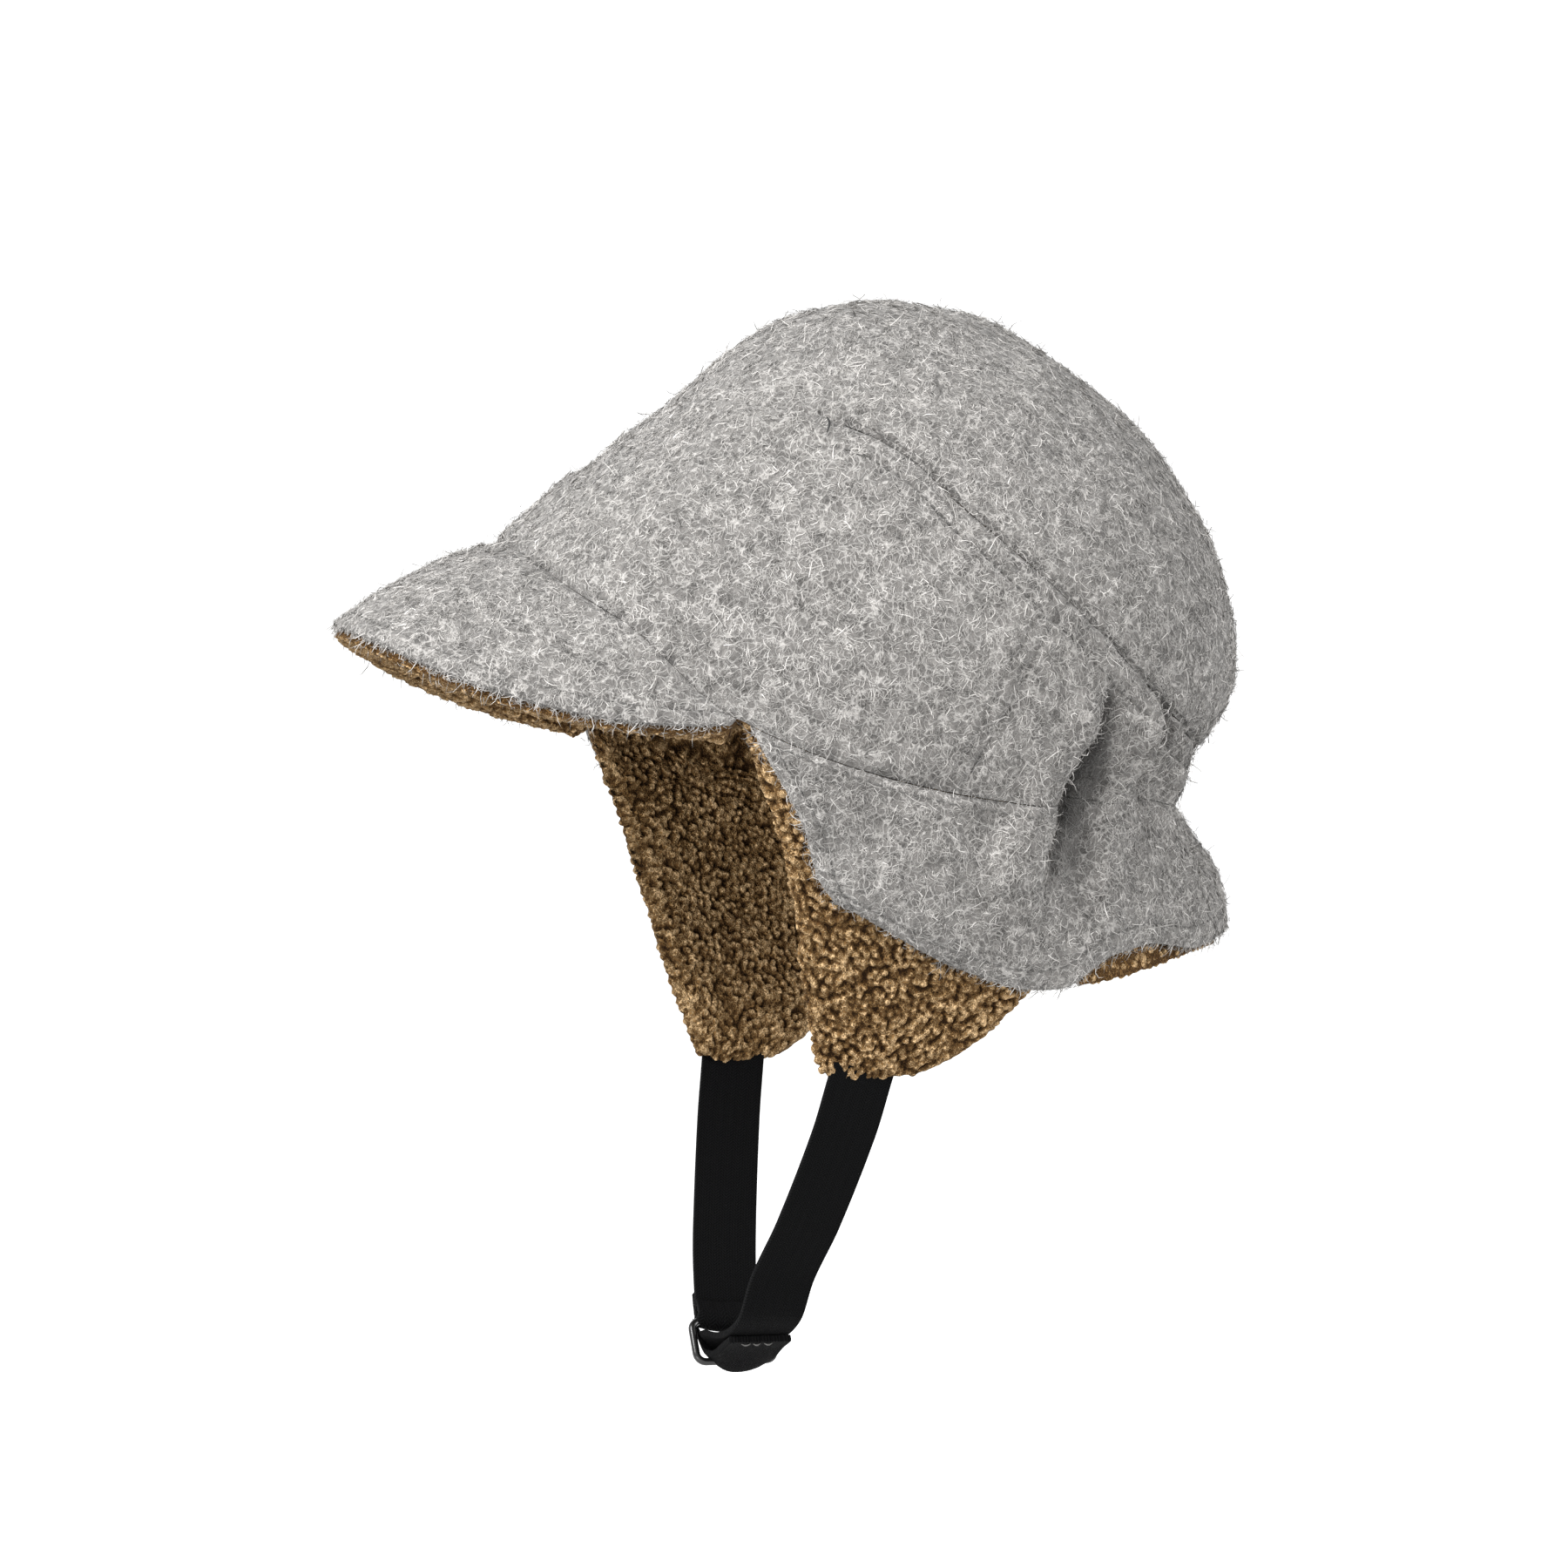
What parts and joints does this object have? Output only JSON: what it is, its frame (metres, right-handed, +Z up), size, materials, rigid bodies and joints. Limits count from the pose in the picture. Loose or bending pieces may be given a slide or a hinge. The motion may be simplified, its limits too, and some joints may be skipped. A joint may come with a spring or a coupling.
{
  "type": "aviator hat",
  "caption": "Soft winter cap with a short arched peak, fleece ear flaps, a neck curtain gathered at the nape and a chin strap joined by a small loop.",
  "frame": {"origin": "middle of the head opening, level with the temples, where the hat sits on a head", "axes": "+Z up, -Y to the front, +X to the wearer's left"},
  "size_m": [0.177, 0.2634, 0.3061],
  "materials": {
    "grey_wool": "brushed, long-haired wool",
    "brown_fleece": "curly pile fleece",
    "black_tape": "matt woven tape",
    "black_plastic": "gloss"
  },
  "bodies": {
    "root": {"crown_dome": "grey_wool", "crown_front": "grey_wool", "nape_band": "grey_wool", "peak": "grey_wool", "neck_curtain": "grey_wool", "crown_lining": "brown_fleece", "peak_lining": "brown_fleece", "curtain_lining": "brown_fleece", "ear_flap_left": "brown_fleece", "ear_flap_right": "brown_fleece", "chin_strap_left": "black_tape", "chin_strap_right": "black_tape", "strap_loop": "black_plastic"}
  },
  "joints": []
}
